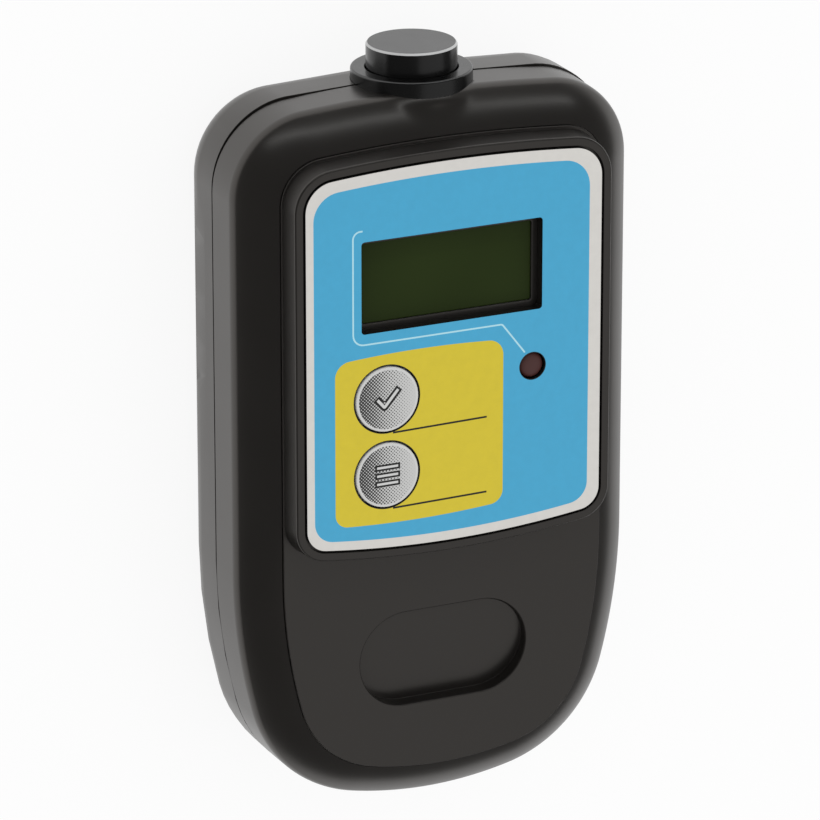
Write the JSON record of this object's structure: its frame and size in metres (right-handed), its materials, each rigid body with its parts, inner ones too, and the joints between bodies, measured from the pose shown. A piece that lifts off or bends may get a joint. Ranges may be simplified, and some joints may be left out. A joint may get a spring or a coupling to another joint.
{
  "type": "coating thickness gauge",
  "caption": "Hand-held coating thickness gauge: rounded two-part housing with raised label deck, display window, round keys, indicator lamp, thumb rest and sprung probe at the top end.",
  "frame": {"origin": "middle of the part's box, on the flat of its back", "axes": "+Z out of the display, +Y along the body to the probe, +X to the right of the display"},
  "size_m": [0.06, 0.1092, 0.0262],
  "materials": {
    "black_plastic": "satin moulded black",
    "label_film": "printed polyester film, satin",
    "key_silver": "silver printed",
    "inner_plastic": "matte black",
    "plunger_plastic": "matte red-brown",
    "display_glass": "dark olive reflective display",
    "strip_rubber": "matte",
    "lamp_red": "unlit red lens",
    "tinned_metal": "tinned",
    "board_green": "solder mask",
    "socket_plastic": "matte ivory",
    "lead_rubber": "insulated wire",
    "probe_black": "satin turned black",
    "core_iron": "sintered",
    "coil_copper": "enamelled copper winding",
    "spring_steel": "zinc plated",
    "cell_can": "plain wrapped cell"
  },
  "bodies": {
    "housing": {"front_housing": "black_plastic", "rear_housing": "black_plastic", "overlay_label": "label_film", "ok_switch": "inner_plastic", "function_switch": "inner_plastic", "lcd_glass": "display_glass", "lcd_bezel": "inner_plastic", "contact_strips": "strip_rubber", "indicator_led": "lamp_red", "led_leads": "tinned_metal", "main_board": "board_green", "controller_chip": "inner_plastic", "buzzer": "inner_plastic", "probe_socket": "socket_plastic", "probe_leads": "lead_rubber", "probe_collar": "black_plastic", "probe_spring": "spring_steel", "probe_retainer": "inner_plastic", "battery_left": "cell_can", "battery_right": "cell_can", "battery_springs": "spring_steel", "battery_bridge": "tinned_metal", "battery_terminals": "tinned_metal", "housing_screws": "spring_steel", "board_screws": "spring_steel"},
    "ok_key": {"ok_button": "key_silver", "ok_plunger": "plunger_plastic"},
    "function_key": {"function_button": "key_silver", "function_plunger": "plunger_plastic"},
    "probe": {"probe_head": "probe_black", "probe_core": "core_iron", "coil_former": "socket_plastic", "probe_coil": "coil_copper"},
    "door": {"battery_door": "black_plastic"}
  },
  "joints": [
    {"name": "ok_press", "type": "slide", "parent": "housing", "child": "ok_key", "axis": [0, 0, -1], "range_m": [0, 0.0005], "stiffness_N_per_m": 1500, "springref_m": -0.0002},
    {"name": "function_press", "type": "slide", "parent": "housing", "child": "function_key", "axis": [0, 0, -1], "range_m": [0, 0.0005], "stiffness_N_per_m": 1500, "springref_m": -0.0002},
    {"name": "probe_press", "type": "slide", "parent": "housing", "child": "probe", "axis": [0, -1, 0], "range_m": [0, 0.0025], "stiffness_N_per_m": 800, "springref_m": -0.001, "deforming": ["probe_spring"]},
    {"name": "door_slide", "type": "slide", "parent": "housing", "child": "door", "axis": [0, -1, 0], "range_m": [0, 0.052]}
  ]
}
